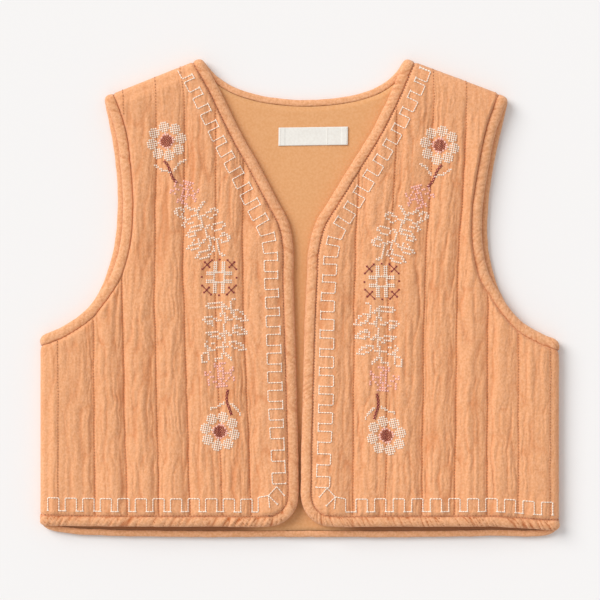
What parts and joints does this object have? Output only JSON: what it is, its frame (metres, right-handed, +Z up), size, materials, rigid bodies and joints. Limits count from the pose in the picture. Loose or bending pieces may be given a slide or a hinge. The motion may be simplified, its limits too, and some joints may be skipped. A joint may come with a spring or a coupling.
{
  "type": "child's quilted waistcoat",
  "caption": "Sleeveless quilted child's waistcoat laid flat and face up, open in front, with bound edges, lining and neck label.",
  "frame": {"origin": "centre of the laid garment's footprint, on the surface that its back lies on", "axes": "+X towards the wearer's left side, +Y towards the neck, +Z up, out of the fronts"},
  "size_m": [0.3736, 0.3445, 0.0136],
  "materials": {
    "double_gauze": "quilted apricot cotton double gauze",
    "binding": "apricot bias binding",
    "lining": "smooth ochre cotton lining",
    "label": "bare woven label",
    "cream_thread": "cream cotton embroidery thread",
    "pink_thread": "pink cotton embroidery thread",
    "burgundy_thread": "burgundy cotton embroidery thread"
  },
  "bodies": {
    "root": {"back": "double_gauze", "back_hem_binding": "binding", "back_lining": "lining", "back_neck_binding": "binding", "left_armhole_binding": "binding", "left_front": "double_gauze", "left_front_edge_binding": "binding", "neck_label": "label", "right_armhole_binding": "binding", "right_front": "double_gauze", "right_front_edge_binding": "binding"}
  },
  "joints": []
}
